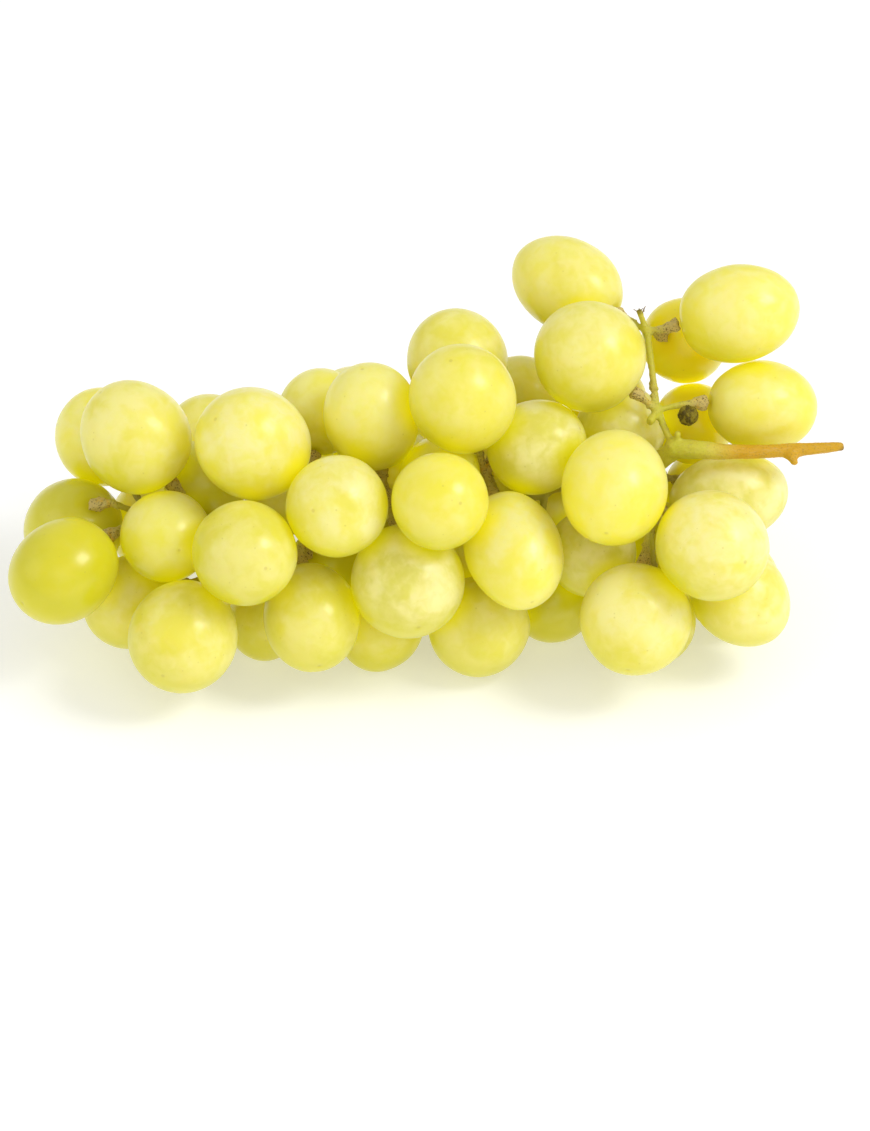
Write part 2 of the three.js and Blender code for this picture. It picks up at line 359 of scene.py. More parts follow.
def grown_mesh(
    name: str, tree: bpy.types.NodeTree, values: dict[str, object], start: bpy.types.Mesh | None = None
) -> bpy.types.Mesh:
    """Runs a geometry node tree once and keeps its result as a plain mesh.

    Args:
        name: The new mesh's name.
        tree: The geometry node tree.
        values: Its inputs by name.
        start: The mesh that it starts from, if it takes one.

    Returns:
        The finished mesh, with no modifier left.
    """
    seed_mesh = start or bpy.data.meshes.new(name + "_seed")
    carrier = bpy.data.objects.new(name + "_carrier", seed_mesh)
    bpy.context.scene.collection.objects.link(carrier)
    modifier = carrier.modifiers.new("grow", "NODES")
    modifier.node_group = tree
    for item in tree.interface.items_tree:
        if item.in_out == "INPUT" and item.name in values:
            modifier[item.identifier] = values[item.name]
    evaluated = carrier.evaluated_get(bpy.context.evaluated_depsgraph_get())
    mesh = bpy.data.meshes.new_from_object(evaluated)
    carrier.modifiers.remove(modifier)
    bpy.data.objects.remove(carrier)
    bpy.data.meshes.remove(seed_mesh)
    mesh.name = name
    wear_one_material(mesh, [material for material in mesh.materials if material][0])
    return mesh


def wear_one_material(mesh: bpy.types.Mesh, material: bpy.types.Material) -> None:
    """Gives the whole mesh one material and no other slot.

    Args:
        mesh: The mesh.
        material: What it wears.
    """
    mesh.materials.clear()
    mesh.materials.append(material)
    mesh.polygons.foreach_set("material_index", [0] * len(mesh.polygons))


def points_of(mesh: bpy.types.Mesh) -> np.ndarray:
    """Reads where a mesh's vertices are.

    Args:
        mesh: The mesh.

    Returns:
        The vertices as rows of x, y, z.
    """
    flat = np.empty(len(mesh.vertices) * 3)
    mesh.vertices.foreach_get("co", flat)
    return flat.reshape(-1, 3)


def set_points(mesh: bpy.types.Mesh, points: np.ndarray) -> None:
    """Moves the mesh's vertices to rows of x, y, z."""
    mesh.vertices.foreach_set("co", points.ravel())
    mesh.update()


def joined(first: bpy.types.Mesh, second: bpy.types.Mesh, name: str) -> bpy.types.Mesh:
    """Joins two meshes that wear the same material.

    Args:
        first: One mesh, which is used up.
        second: The other, which is used up.
        name: The new mesh's name.

    Returns:
        The joined mesh.
    """
    both = bmesh.new()
    both.from_mesh(first)
    both.from_mesh(second)
    mesh = bpy.data.meshes.new(name)
    both.to_mesh(mesh)
    both.free()
    material = first.materials[0]
    bpy.data.meshes.remove(first)
    bpy.data.meshes.remove(second)
    wear_one_material(mesh, material)
    return mesh


def set_attribute(mesh: bpy.types.Mesh, name: str, values: np.ndarray) -> None:
    """Stores one number for each vertex under a name."""
    layer = mesh.attributes.get(name) or mesh.attributes.new(name, "FLOAT", "POINT")
    layer.data.foreach_set("value", np.asarray(values, dtype=np.float32))


def eased(values: np.ndarray, low: float, high: float) -> np.ndarray:
    """0 under low, 1 over high, and a smooth rise between them."""
    share = np.clip((values - low) / (high - low), 0.0, 1.0)
    return share * share * (3.0 - 2.0 * share)


def add_piece(name: str, mesh: bpy.types.Mesh, node: str) -> bpy.types.Object:
    """Puts a finished mesh in the scene as the piece that stands for a CAD node.

    Args:
        name: The piece's name.
        mesh: Its mesh, already in place.
        node: The CAD node that it replaces.

    Returns:
        The new object.
    """
    piece = bpy.data.objects.new(name, mesh)
    bpy.context.scene.collection.objects.link(piece)
    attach(piece, BODY)
    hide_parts(node)
    LOG.info("%s: %d faces", name, len(mesh.polygons))
    return piece


# Finishes

Colour = tuple[float, float, float]


@dataclass(frozen=True)
class GrapeSkin:
    """Thin translucent skin over yellow-green flesh, under a cloudy veil of waxy bloom."""

    green: Colour = (0.60, 0.565, 0.004)
    yellow: Colour = (0.875, 0.780, 0.034)
    gold: Colour = (0.96, 0.73, 0.005)
    bloom: Colour = (0.90, 0.835, 0.42)
    speck: Colour = (0.42, 0.34, 0.06)
    scar: Colour = (0.40, 0.30, 0.07)
    scar_share: float = 0.25
    drift_waves: float = 60.0
    cloud_waves: float = 95.0
    smear_waves: float = 380.0
    speck_waves: float = 600.0
    grain_waves: float = 2600.0
    scatter: Colour = (1.0, 0.85, 0.20)
    scatter_depth: float = 12.0 * MM
    # Painted glow that stands in for light passing through the flesh: faint all over, deeper yellow in the
    # crevices.
    open_painted_glow: Colour = (0.24, 0.22, 0.0)
    crevice_painted_glow: Colour = (1.0, 0.92, 0.0)
    painted_glow_strength: float = 0.22

    def material(self) -> bpy.types.Material:
        """Builds the skin.

        Returns:
            The material, which reads the attributes that Berries.dress writes.
        """
        material, graph = new_material("fruit_skin")
        place = graph.node("ShaderNodeTexCoord")["Object"]
        pole = graph.attribute("pole")

        drift = graph.noise(place, self.drift_waves, 2.0)
        # The flesh colour carries the painted shade that Berries.dress writes into the tone attribute.
        tone = graph.attribute("ripeness") + (drift - 0.5) * 0.45
        stops = [(0.0, self.green), (0.45, self.yellow), (0.75, self.yellow), (1.0, self.gold)]
        flesh = graph.ramp(tone, stops)

        clouds = graph.noise(place, self.cloud_waves, 3.0, 0.4)
        smear = graph.noise(place, self.smear_waves, 3.0, 0.5)
        veil = clouds + (smear - 0.5) * 0.4
        # The veil is partly real waxy bloom and partly painted light: paler on the lit side of each berry,
        # thinner next to neighbours, where it is partly rubbed off and partly painted shade.
        wax_and_light = (veil.ramp(0.28, 0.70) * 0.72 + 0.28) * graph.attribute("bloom")
        colour = graph.mix(wax_and_light, flesh, self.bloom)

        inputs = {"Vector": place, "Scale": self.speck_waves}
        cells = graph.node("ShaderNodeTexVoronoi", {"feature": "F1"}, inputs)
        chosen = graph.node("ShaderNodeSeparateColor", None, {"Color": cells["Color"]})["Red"]
        speckle = (1.0 - cells["Distance"].ramp(0.06, 0.16)) * chosen.ramp(0.72, 0.85)
        colour = graph.mix(speckle * self.scar_share, colour, self.speck)

        blossom_end = (-pole).ramp(0.9988, 0.9997) * self.scar_share
        colour = graph.mix(blossom_end, colour, self.scar)
        stem_end = pole.ramp(0.972, 0.992) * 0.5
        colour = graph.mix(stem_end, colour, self.green)

        grain = graph.noise(place, self.grain_waves, 2.0)
        height = grain * 0.4 + smear * 0.6
        surface = graph.node(
            "ShaderNodeBsdfPrincipled",
            {"subsurface_method": "RANDOM_WALK"},
            {
                "Base Color": colour,
                "Roughness": 0.29 + wax_and_light * 0.11 + grain * 0.05,
                "Subsurface Weight": 1.0,
                "Subsurface Radius": self.scatter,
                "Subsurface Scale": self.scatter_depth,
                "IOR": 1.40,
                "Coat Weight": 0.34 - wax_and_light * 0.16,
                "Coat Roughness": 0.19,
                # Painted glow: emission over the whole fruit, deeper in colour in the crevices between
                # berries.
                "Emission Color": graph.mix(graph.attribute("crevice"), self.open_painted_glow, self.crevice_painted_glow),
                "Emission Strength": self.painted_glow_strength,
                "Normal": graph.bump(height, 0.035, 0.4 * MM),
            },
        )
        graph.node("ShaderNodeOutputMaterial", None, {"Surface": surface["BSDF"]})
        return material


@dataclass(frozen=True)
class StemBark:
    """Young yellow-green stem that turns tan on its warts and orange-brown where it is woody."""

    green: Colour = (0.58, 0.60, 0.035)
    straw: Colour = (0.73, 0.61, 0.08)
    orange: Colour = (0.69, 0.39, 0.014)
    tan: Colour = (0.66, 0.50, 0.20)
    amber: Colour = (0.80, 0.48, 0.02)
    fleck: Colour = (0.14, 0.085, 0.02)
    olive: Colour = (0.26, 0.21, 0.035)
    drift_waves: float = 160.0
    patch_waves: float = 420.0
    fibre_waves: float = 2400.0
    fleck_waves: float = 2600.0

    def material(self) -> bpy.types.Material:
        """Builds the bark.

        Returns:
            The material, which reads the attributes that Stem.build writes.
        """
        material, graph = new_material("bark")
        place = graph.node("ShaderNodeTexCoord")["Object"]
        woody = graph.attribute("woody")
        warty = graph.attribute("warty")

        drift = graph.noise(place, self.drift_waves, 3.0)
        age = woody + (drift - 0.5) * 0.45
        colour = graph.ramp(age, [(0.0, self.green), (0.4, self.straw), (0.85, self.orange)])
        colour = graph.mix(warty * 0.85, colour, self.tan)
        patches = graph.noise(place, self.patch_waves, 2.0)
        colour = graph.mix(patches.ramp(0.58, 0.68) * warty * 0.7, colour, self.amber)

        stretch = graph.node("ShaderNodeMapping", None, {"Vector": place, "Scale": (0.3, 1.0, 1.0)})
        fibres = graph.noise(stretch["Vector"], self.fibre_waves, 4.0, 0.4)
        colour = graph.mix(fibres.ramp(0.50, 0.72) * 0.3, colour, self.tan)
        flecks = graph.noise(place, self.fleck_waves, 4.0)
        dark = flecks.ramp(0.54, 0.66) * (warty * 0.8 + woody * 0.2 + 0.08)
        colour = graph.mix(dark, colour, self.fleck)
        # Painted shade: the stem turns dark olive where it runs deep among the fruit.
        colour = graph.mix(graph.attribute("inner") * 0.75, colour, self.olive)
        colour = graph.mix(graph.attribute("dried"), colour, self.fleck)

        height = fibres * 0.7 + flecks * 0.5
        surface = graph.node(
            "ShaderNodeBsdfPrincipled",
            {"subsurface_method": "RANDOM_WALK"},
            {
                "Base Color": colour,
                "Roughness": 0.50 + warty * 0.25,
                "Specular IOR Level": 0.35,
                "Subsurface Weight": 0.25,
                "Subsurface Radius": (1.0, 0.7, 0.2),
                "Subsurface Scale": 0.6 * MM,
                "Normal": graph.bump(height, 0.6, 0.3 * MM),
            },
        )
        graph.node("ShaderNodeOutputMaterial", None, {"Surface": surface["BSDF"]})
        return material


@dataclass(frozen=True)
class ShrivelledSkin:
    """The wrinkled dark olive skin of a berry that never grew."""

    olive: Colour = (0.27, 0.21, 0.012)
    dark: Colour = (0.085, 0.060, 0.004)
    blotch_waves: float = 900.0
    wrinkle_waves: float = 2400.0

    def material(self) -> bpy.types.Material:
        """Builds the dried skin.

        Returns:
            The material.
        """
        material, graph = new_material("dried_skin")
        place = graph.node("ShaderNodeTexCoord")["Object"]
        blotch = graph.noise(place, self.blotch_waves, 4.0, 0.8)
        colour = graph.mix(blotch.ramp(0.35, 0.65), self.dark, self.olive)
        height = graph.noise(place, self.wrinkle_waves, 4.0)
        inputs = {
            "Base Color": colour,
            "Roughness": 0.45 + blotch * 0.3,
            "Specular IOR Level": 0.25,
            "Normal": graph.bump(height, 0.5, 0.3 * MM),
        }
        surface = graph.node("ShaderNodeBsdfPrincipled", None, inputs)
        graph.node("ShaderNodeOutputMaterial", None, {"Surface": surface["BSDF"]})
        return material


@dataclass(frozen=True)
class StudioPaper:
    """The plain white paper that the bunch lies on, lit a little from below."""

    colour: Colour = (0.78, 0.78, 0.78)
    lift: float = 0.36

    def material(self) -> bpy.types.Material:
        """Builds the paper.

        Returns:
            The material.
        """
        material, graph = new_material("studio_paper")
        inputs = {
            "Base Color": (*self.colour, 1.0),
            "Roughness": 0.9,
            "Emission Color": (1.0, 1.0, 1.0, 1.0),
            "Emission Strength": self.lift,
        }
        surface = graph.node("ShaderNodeBsdfPrincipled", None, inputs)
        graph.node("ShaderNodeOutputMaterial", None, {"Surface": surface["BSDF"]})
        return material


# Berries


class Ripeness(Enum):
    """How yellow a berry has turned."""

    GREEN = 0.12
    YELLOW = 0.34
    GOLD = 0.90


@dataclass
class BerryForm:
    """The rule for a berry's shape, as a geometry node tree on a unit ball, stem end up +Z."""

    subdivisions: int = 6
    dimple_width: float = 0.13
    scar_width: float = 0.05
    scar_height: float = 0.015
    broad_waves: float = 0.9
    crease_waves: float = 3.4
    tree: bpy.types.NodeTree = field(init=False)

    def __post_init__(self) -> None:
        """Builds the tree once for all berries."""
        sizes = {
            "Length": "NodeSocketFloat",
            "Width": "NodeSocketFloat",
            "Shoulder": "NodeSocketFloat",
            "Dimple": "NodeSocketFloat",
            "Wobble": "NodeSocketFloat",
            "Wrinkle": "NodeSocketFloat",
            "Seed": "NodeSocketFloat",
            "Skin": "NodeSocketMaterial",
        }
        graph, given = geometry_graph("BerryForm", sizes, takes_mesh=False)
        unit = {"Radius": 1.0, "Subdivisions": self.subdivisions}
        ball = graph.node("GeometryNodeMeshIcoSphere", None, unit)
        position = graph.node("GeometryNodeInputPosition")["Position"]
        parts = graph.node("ShaderNodeSeparateXYZ", None, {"Vector": position})
        x, y, z = parts["X"], parts["Y"], parts["Z"]
        off_axis = x * x + y * y

        seeded = graph.node("ShaderNodeCombineXYZ", None, {"X": given["Seed"], "Y": given["Seed"] * 0.7})
        shifted = graph.node(
            "ShaderNodeVectorMath", {"operation": "ADD"}, {"Vector": position, "Vector_001": seeded["Vector"]}
        )["Vector"]
        broad = graph.noise(shifted, self.broad_waves, 1.0) - 0.5
        creased = graph.noise(shifted, self.crease_waves, 3.0, 0.6) - 0.5
        swell = 1.0 + broad * given["Wobble"] + creased * given["Wrinkle"]

        flare = swell * (1.0 + z * given["Shoulder"])
        dimple = (-(off_axis / self.dimple_width)).exp() * given["Dimple"] * z.ramp(0.0, 0.6)
        nipple = (-(off_axis / self.scar_width**2)).exp() * self.scar_height
        scar = nipple * (-z).ramp(0.0, 0.6)
        height = z * swell - dimple + scar
        shaped = graph.node(
            "ShaderNodeCombineXYZ",
            None,
            {
                "X": x * flare * given["Width"] * 0.5,
                "Y": y * flare * given["Width"] * 0.5,
                "Z": height * given["Length"] * 0.5,
            },
        )
        marked = graph.node(
            "GeometryNodeStoreNamedAttribute",
            {"data_type": "FLOAT", "domain": "POINT"},
            {"Geometry": ball["Mesh"], "Name": "pole", "Value": z},
        )
        moved = graph.node(
            "GeometryNodeSetPosition", None, {"Geometry": marked["Geometry"], "Position": shaped["Vector"]}
        )
        smooth = graph.node("GeometryNodeSetShadeSmooth", None, {"Geometry": moved["Geometry"]})
        self.tree = ended_tree(graph, smooth["Geometry"], given["Skin"])


@dataclass
class Berry:
    """One fruit: where it hangs, how big it is, and how it looks."""

    name: str
    centre: np.ndarray
    axes: np.ndarray
    half_width: float
    half_length: float
    ripeness: float = 0.5
    bloom: float = 0.5
    shoulder: float = 0.03
    seed: float = 0.0

    @property
    def axis(self) -> np.ndarray:
        """The unit direction from the middle of the berry to its stem end."""
        return self.axes[2]

    @property
    def stem_end(self) -> np.ndarray:
        """The point of the skin where the pedicel holds the berry."""
        return self.centre + self.axis * self.half_length

    def reach(self, direction: np.ndarray, growth: float = 0.0) -> float:
        """How far the berry reaches from its middle along a unit direction.

        Args:
            direction: The unit direction.
            growth: How much it is grown all round.

        Returns:
            The distance in metres.
        """
        width = self.half_width + growth
        length = self.half_length + growth
        along = float(self.axis @ direction)
        return math.sqrt(width**2 + (length**2 - width**2) * along**2)


def berry_from_node(name: str, stem_points: np.ndarray) -> Berry:
    """Reads a berry's middle, axes and sizes back from its CAD node.

    Args:
        name: The CAD node.
        stem_points: The corners of the CAD stem, which tell the stem end from the other end.

    Returns:
        The berry, not yet built.
    """
    corners = points_of(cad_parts[name].data) / MM
    corners = corners[corners[:, 2] > TABLE_CONTACT / MM]
    middle = corners.mean(axis=0)
    x, y, z = (corners - middle).T
    terms = np.stack([x * x, y * y, z * z, 2 * x * y, 2 * x * z, 2 * y * z, 2 * x, 2 * y, 2 * z], axis=1)
    fit = np.linalg.lstsq(terms, np.ones(len(x)), rcond=None)[0]
    shape = np.array([[fit[0], fit[3], fit[4]], [fit[3], fit[1], fit[5]], [fit[4], fit[5], fit[2]]])
    offset = -np.linalg.solve(shape, fit[6:9])
    scale = 1.0 + offset @ shape @ offset
    values, vectors = np.linalg.eigh(shape / scale)
    radii = 1.0 / np.sqrt(values)
    centre = (middle + offset) * MM
    axis = vectors[:, 0]
    tip = centre + axis * radii[0] * MM
    tail = centre - axis * radii[0] * MM
    nearest = [np.linalg.norm(stem_points - end, axis=1).min() for end in (tip, tail)]
    if nearest[1] < nearest[0]:
        axis = -axis
    side = np.cross(axis, vectors[:, 1])
    axes = np.stack([vectors[:, 1], side, axis])
    if np.linalg.det(axes) < 0:
        axes[1] = -axes[1]
    return Berry(name, centre, axes, float(radii[1:].mean()) * MM, float(radii[0]) * MM)


@dataclass
class Berries:
    """All the fruit of the bunch, each squeezed a little flat where it touches the next one."""

    growth: float = 0.2 * MM
    press_softness: float = 0.07 * MM
    bend_reach: float = 12.0
    skin_gap: float = 0.01 * MM
    neighbour_reach: float = 4.5 * MM
    # The side of each berry that faces the light: the far side gets painted shade, the near side a paler
    # painted light in its bloom.
    lit_side: tuple[float, float, float] = (0.30, -0.30, 0.905)
    # Heights over which the lower berries get a greener painted shade.
    painted_shade_heights: tuple[float, float] = (12.0 * MM, 55.0 * MM)
    low_painted_shade: float = 0.13
    shade_depth: float = 0.30
    lit_edges: tuple[float, float] = (-0.50, 0.70)
    wobble: float = 0.05
    dimple: float = 0.05
    seed: int = 11
    sheltered: tuple[str, ...] = ("berry_35", "berry_58", "berry_43")
    dusty: tuple[str, ...] = ("berry_26", "berry_30", "berry_34", "berry_36", "berry_19")
    greenest: tuple[str, ...] = ("berry_01", "berry_02", "berry_07", "berry_15", "berry_31", "berry_42")
    sheltered_bloom: tuple[float, float] = (0.0, 0.15)
    greenest_bloom: tuple[float, float] = (0.1, 0.4)
    usual_bloom: tuple[float, float] = (0.5, 0.95)
    ripeness_spread: float = 0.08
    shoulders: tuple[float, float] = (-0.02, 0.05)
    form_seeds: float = 50.0
    least_bloom_and_light: float = 0.1
    crevice_painted_shade: float = 0.1
    fruit: list[Berry] = field(default_factory=list)

    def character(self, name: str, chance: np.random.Generator) -> tuple[float, float]:
        """How ripe and how dusty a berry is.

        Args:
            name: The berry.
            chance: The source of small differences.

        Returns:
            Its ripeness and its bloom.
        """
        # Painted shade: the sheltered berries at the back are deep gold with little bloom; the greenest are
        # partly the green left end and partly berries deep in painted shade.
        if name in self.sheltered:
            return Ripeness.GOLD.value, float(chance.uniform(*self.sheltered_bloom))
        if name in self.dusty:
            return Ripeness.GREEN.value, 1.0
        if name in self.greenest:
            return Ripeness.GREEN.value, float(chance.uniform(*self.greenest_bloom))
        ripeness = float(chance.normal(Ripeness.YELLOW.value, self.ripeness_spread))
        return ripeness, float(chance.uniform(*self.usual_bloom))

    def read(self, stem_points: np.ndarray) -> None:
        """Reads every berry from the frame and gives each its own character.

        Args:
            stem_points: The corners of the CAD stem.
        """
        chance = np.random.default_rng(self.seed)
        names = sorted(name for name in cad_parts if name.startswith(BERRY_PREFIX))
        for name in names:
            berry = berry_from_node(name, stem_points)
            berry.ripeness, berry.bloom = self.character(name, chance)
            # Painted shade: the lower in the bunch a berry lies, the greener and darker it is.
            height = float(eased(berry.centre[2], *self.painted_shade_heights))
            berry.ripeness -= self.low_painted_shade * (1.0 - height)
            berry.shoulder = float(chance.uniform(*self.shoulders))
            berry.seed = float(chance.uniform(0.0, self.form_seeds))
            self.fruit.append(berry)

    def build(self, form: BerryForm, skin: bpy.types.Material) -> None:
        """Builds, presses and dresses every berry.

        Args:
            form: The berry's shape rule.
            skin: The skin material.
        """
        for berry in self.fruit:
            values = {
                "Length": 2 * (berry.half_length + self.growth),
                "Width": 2 * (berry.half_width + self.growth),
                "Shoulder": berry.shoulder,
                "Dimple": self.dimple,
                "Wobble": self.wobble,
                "Wrinkle": 0.0,
                "Seed": berry.seed,
                "Skin": skin,
            }
            mesh = grown_mesh(berry.name + "_fruit", form.tree, values)
            local = points_of(mesh)
            points = berry.centre + local @ berry.axes
            set_points(mesh, self.pressed(berry, points))
            self.dress(mesh, berry)
            add_piece(berry.name + "_fruit", mesh, berry.name)

    def pressed(self, berry: Berry, points: np.ndarray) -> np.ndarray:
        """Flattens a berry softly where it meets its neighbours and the table.

        Args:
            berry: The berry.
            points: Its skin.

        Returns:
            The moved points.
        """
        for other in self.fruit:
            way = other.centre - berry.centre
            apart = float(np.linalg.norm(way))
            if other is berry or apart > 2.0 * (berry.half_length + other.half_length):
                continue
            way = way / apart
            own = berry.reach(way, self.growth)
            slack = apart - own - other.reach(way, self.growth)
            wall = own + 0.5 * slack - self.skin_gap
            points = self.held_back(points, berry.centre, way, wall)
        return self.held_back(points, np.zeros(3), np.array([0.0, 0.0, -1.0]), 0.0)

    def held_back(self, points: np.ndarray, start: np.ndarray, way: np.ndarray, wall: float) -> np.ndarray:
        """Keeps points on the near side of a wall, with a soft bend on the way to it.

        Args:
            points: The points.
            start: Where the wall's distance is measured from.
            way: The unit direction to the wall.
            wall: How far off it is.

        Returns:
            The moved points.
        """
        beyond = ((points - start) @ way - wall) / self.press_softness
        near = beyond > -self.bend_reach
        kept = -np.logaddexp(0.0, -beyond[near])
        moved = points.copy()
        moved[near] += np.outer((kept - beyond[near]) * self.press_softness, way)
        return moved

    def dress(self, mesh: bpy.types.Mesh, berry: Berry) -> None:
        """Writes the attributes that the skin material reads, which carry painted light, painted shade and
        the mask of the painted glow.

        Args:
            mesh: The berry's mesh, already pressed.
            berry: The berry.
        """
        points = points_of(mesh)
        way = points - berry.centre
        light_facing = way @ np.array(self.lit_side) / np.linalg.norm(way, axis=1)
        air = self.open_air(berry, points)
        lit = eased(light_facing, *self.lit_edges)
        # The crevice mask places the deeper painted glow.
        set_attribute(mesh, "crevice", 1.0 - air)
        # Painted shade: the skin is greener and darker on the side turned away from the light and in the
        # crevices between berries.
        painted_shade = self.shade_depth * (1.0 - lit) + self.crevice_painted_shade * (1.0 - air)
        set_attribute(mesh, "ripeness", berry.ripeness - painted_shade)
        kept = self.least_bloom_and_light
        # Painted light and shade in the bloom: pale on the side that faces the light, thin on the side away
        # from it and near neighbours.
        set_attribute(mesh, "bloom", berry.bloom * (kept + (1.0 - kept) * air) * (kept + (1.0 - kept) * lit))

    def open_air(self, berry: Berry, points: np.ndarray) -> np.ndarray:
        """How free the skin is: 0 where a neighbour rubs the bloom off and casts painted shade, 1 well away
        from all of them.

        Args:
            berry: The berry.
            points: Its skin.

        Returns:
            One value for each point.
        """
        free = np.ones(len(points))
        for other in self.fruit:
            apart = float(np.linalg.norm(other.centre - berry.centre))
            if other is berry or apart > berry.half_length + other.half_length + self.neighbour_reach:
                continue
            way = points - other.centre
            far = np.linalg.norm(way, axis=1)
            along = (way @ other.axis) / far
            own = np.sqrt(other.half_width**2 + (other.half_length**2 - other.half_width**2) * along**2)
            free *= eased(far - own, 0.0, self.neighbour_reach)
        return free


# Stem


@dataclass
class Stem:
    """The branched stem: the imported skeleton, with warty receptacles, bark and torn fibres."""

    core_voxel: float = 0.34 * MM
    core_smoothing: int = 8
    skin_voxel: float = 0.29 * MM
    skin_smoothing: int = 2
    regain: float = 0.08 * MM
    wart_radius: float = 0.42 * MM
    wart_spacing: float = 0.62 * MM
    wart_zone: tuple[float, float] = (2.0 * MM, 6.5 * MM)
    wart_density: float = 2.0e7
    wart_sizes: tuple[float, float] = (0.45, 1.25)
    tan_zone: tuple[float, float] = (1.5 * MM, 7.5 * MM)
    torn_zone: tuple[float, float] = (0.3 * MM, 1.6 * MM)
    torn_darkness: float = 0.7
    crowd_reach: tuple[float, float] = (12 * MM, 22 * MM)
    crowd_count: tuple[float, float] = (2.2, 4.2)
    bark_height: float = 0.12 * MM
    ridge_waves: tuple[float, float, float] = (400.0, 1300.0, 1300.0)
    pit_waves: float = 2600.0
    pit_share: float = 0.6
    green_end: float = 0.054
    woody_start: float = 0.068
    least_woody: float = 0.2
    fibre_length: float = 1.2 * MM
    fibre_radius: float = 0.09 * MM
    fibre_sizes: tuple[float, float] = (0.4, 1.1)
    fibre_lean: float = 0.9
    fibre_root: float = 0.5 * MM
    fibre_spread: float = 0.25 * MM
    fibres: int = 6
    seed: int = 3

    def corners(self) -> np.ndarray:
        """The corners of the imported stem."""
        return points_of(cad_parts[STEM_NODE].data)

    def wart_graph(self) -> bpy.types.NodeTree:
        """Writes the tree that scatters warts over the part of the stem near each fruit.

        Returns:
            The geometry node tree.
        """
        sizes = {
            "Radius": "NodeSocketFloat",
            "Spacing": "NodeSocketFloat",
            "Seed": "NodeSocketInt",
            "Bark": "NodeSocketMaterial",
        }
        graph, given = geometry_graph("StemWarts", sizes, takes_mesh=True)
        zone = graph.node("GeometryNodeInputNamedAttribute", {"data_type": "FLOAT"}, {"Name": "warty"})
        scattered = graph.node(
            "GeometryNodeDistributePointsOnFaces",
            {"distribute_method": "POISSON"},
            {
                "Mesh": given["Geometry"],
                "Distance Min": given["Spacing"],
                "Density Max": self.wart_density,
                "Density Factor": zone["Attribute"],
                "Seed": given["Seed"],
            },
        )
        wart = graph.node("GeometryNodeMeshIcoSphere", None, {"Radius": 1.0, "Subdivisions": 2})
        size = random_size(graph, self.wart_sizes, given["Seed"])
        placed = graph.node(
            "GeometryNodeInstanceOnPoints",
            None,
            {"Points": scattered["Points"], "Instance": wart["Mesh"], "Scale": size * given["Radius"]},
        )
        together = graph.node(
            "GeometryNodeJoinGeometry", None, {"Geometry": [placed["Instances"], given["Geometry"]]}
        )
        return ended_tree(graph, together["Geometry"], given["Bark"])

    def fibre_graph(self) -> bpy.types.NodeTree:
        """Writes the tree that stands torn fibres on each point of a mesh.

        Returns:
            The geometry node tree.
        """
        sizes = {
            "Length": "NodeSocketFloat",
            "Radius": "NodeSocketFloat",
            "Seed": "NodeSocketInt",
            "Bark": "NodeSocketMaterial",
        }
        graph, given = geometry_graph("TornFibres", sizes, takes_mesh=True)
        tip = graph.node("ShaderNodeCombineXYZ", None, {"X": given["Length"] * 0.4, "Z": given["Length"]})
        knee = graph.node("ShaderNodeCombineXYZ", None, {"Z": given["Length"] * 0.6})
        line = graph.node(
            "GeometryNodeCurveQuadraticBezier",
            None,
            {"Resolution": 5, "Start": (0.0, 0.0, 0.0), "Middle": knee["Vector"], "End": tip["Vector"]},
        )
        section = {"Resolution": 5, "Radius": given["Radius"]}
        ring = graph.node("GeometryNodeCurvePrimitiveCircle", None, section)
        fibre = graph.node(
            "GeometryNodeCurveToMesh",
            None,
            {"Curve": line["Curve"], "Profile Curve": ring["Curve"], "Fill Caps": True},
        )
        lean = self.fibre_lean
        turn = graph.node(
            "FunctionNodeRandomValue",
            {"data_type": "FLOAT_VECTOR"},
            {"Min": (-lean, -lean, 0.0), "Max": (lean, lean, 6.28), "Seed": given["Seed"]},
        )["Value"]
        size = random_size(graph, self.fibre_sizes, given["Seed"])
        placed = graph.node(
            "GeometryNodeInstanceOnPoints",
            None,
            {"Points": given["Geometry"], "Instance": fibre["Mesh"], "Rotation": turn, "Scale": size},
        )
        return ended_tree(graph, placed["Instances"], given["Bark"])

    def build(self, fruit: list[Berry], bark: bpy.types.Material) -> None:
        """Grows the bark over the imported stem.

        Args:
            fruit: The berries, whose stem ends tell where the receptacles are.
            bark: The bark material.
        """
        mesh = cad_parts[STEM_NODE].data.copy()
        core = self.remeshed(mesh, self.core_voxel, self.core_smoothing)
        self.move_out(core, np.full(len(core.vertices), self.regain))
        ends = np.array([berry.stem_end for berry in fruit])
        set_attribute(core, "warty", self.near_fruit(points_of(core), ends, self.wart_zone))
        values = {
            "Radius": self.wart_radius,
            "Spacing": self.wart_spacing,
            "Seed": self.seed,
            "Bark": bark,
        }
        warted = grown_mesh("stem_warted", self.wart_graph(), values, core)
        skin = self.remeshed(warted, self.skin_voxel, self.skin_smoothing)
        points = points_of(skin)
        self.move_out(skin, self.bark_lift(points))
        points = points_of(skin)
        set_attribute(skin, "warty", self.near_fruit(points, ends, self.tan_zone))
        set_attribute(skin, "woody", self.woody(points))
        set_attribute(skin, "dried", self.near_torn(points))
        set_attribute(skin, "inner", self.crowded(points, fruit))
        wear_one_material(skin, bark)
        whole = joined(skin, self.torn_fibres(points[points[:, 2].argmax()], bark), "stem_bark")
        add_piece("stem_bark", whole, STEM_NODE)

    def torn_ends(self) -> list[np.ndarray]:
        """Where the stem is torn: the cut end of the peduncle and the topmost empty stub."""
        corners = self.corners()
        return [corners[corners[:, 0].argmax()], corners[corners[:, 2].argmax()]]

